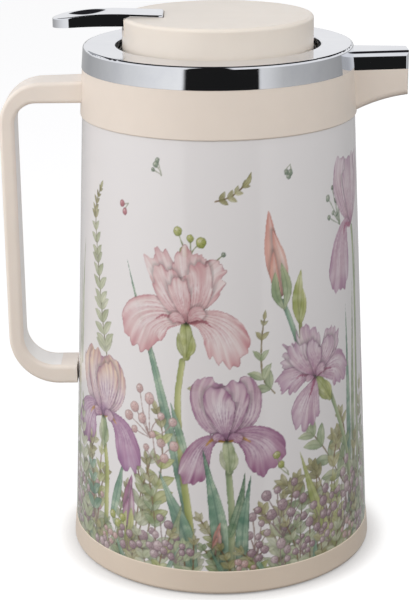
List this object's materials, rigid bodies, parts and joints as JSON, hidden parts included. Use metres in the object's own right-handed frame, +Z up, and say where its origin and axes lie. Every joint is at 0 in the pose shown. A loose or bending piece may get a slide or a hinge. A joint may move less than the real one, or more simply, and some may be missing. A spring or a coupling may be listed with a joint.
{
  "type": "vacuum jug",
  "caption": "Tapered vacuum jug with floral shell, cream collar and grip, chrome ring and spout, and a screw-in stopper with a thumb lever.",
  "frame": {"origin": "jug axis on the table, centre of the rubber foot ring", "axes": "+Z up along the jug's axis, +X towards the spout, grip at -X"},
  "size_m": [0.1861, 0.1446, 0.2569],
  "materials": {
    "printed_steel": "white lacquered sheet steel with a floral transfer print under satin varnish",
    "cream_plastic": "cream polypropylene, semi-gloss",
    "white_plastic": "natural white polypropylene",
    "bright_chrome": "bright chrome plating on moulded plastic",
    "silvered_glass": "silvered vacuum flask glass",
    "silicone": "translucent white silicone",
    "black_rubber": "matt black rubber",
    "felt": "grey mineral felt",
    "stainless": "stainless steel"
  },
  "bodies": {
    "root": {"outer_shell": "printed_steel", "base_ring": "cream_plastic", "base_plug": "cream_plastic", "foot_ring": "black_rubber", "refill_cushion": "black_rubber", "glass_outer": "silvered_glass", "glass_inner": "silvered_glass", "glass_spacer_pads": "felt", "neck_gasket": "silicone", "shoulder_collar": "cream_plastic", "pour_liner": "white_plastic", "chrome_bezel": "bright_chrome", "handle_outer": "cream_plastic", "handle_inner": "cream_plastic", "handle_anchor": "stainless", "handle_screws": "stainless"},
    "seal": {"stopper_seal": "silicone"},
    "stopper": {"stopper_body": "white_plastic", "stopper_knob": "cream_plastic", "stopper_screws": "stainless", "lever_pin": "stainless", "valve_spring": "stainless"},
    "lever": {"thumb_lever": "bright_chrome"},
    "valve": {"valve_stem": "stainless", "valve_disc": "white_plastic", "valve_seal": "silicone", "stem_nut": "stainless"}
  },
  "joints": [
    {"name": "stopper_rise", "type": "slide", "parent": "root", "child": "seal", "axis": [0, 0, 1], "range_m": [0, 0.06]},
    {"name": "stopper_unscrew", "type": "hinge", "parent": "seal", "child": "stopper", "pos_m": [0, 0, 0.2053], "axis": [0, 0, 1], "range_deg": [0, 1081]},
    {"name": "lever_press", "type": "hinge", "parent": "stopper", "child": "lever", "pos_m": [-0.033, 0, 0.2486], "axis": [0, -1, 0], "range_deg": [0, 8.02]},
    {"name": "valve_lift", "type": "slide", "parent": "stopper", "child": "valve", "axis": [0, 0, 1], "range_m": [0, 0.00472], "stiffness_N_per_m": 700, "deforming": ["valve_spring"]}
  ],
  "couplings": [
    {"joint": "stopper_unscrew", "follows": "stopper_rise", "rad_per_m": 314.16},
    {"joint": "lever_press", "follows": "valve_lift", "rad_per_m": 29.582}
  ]
}
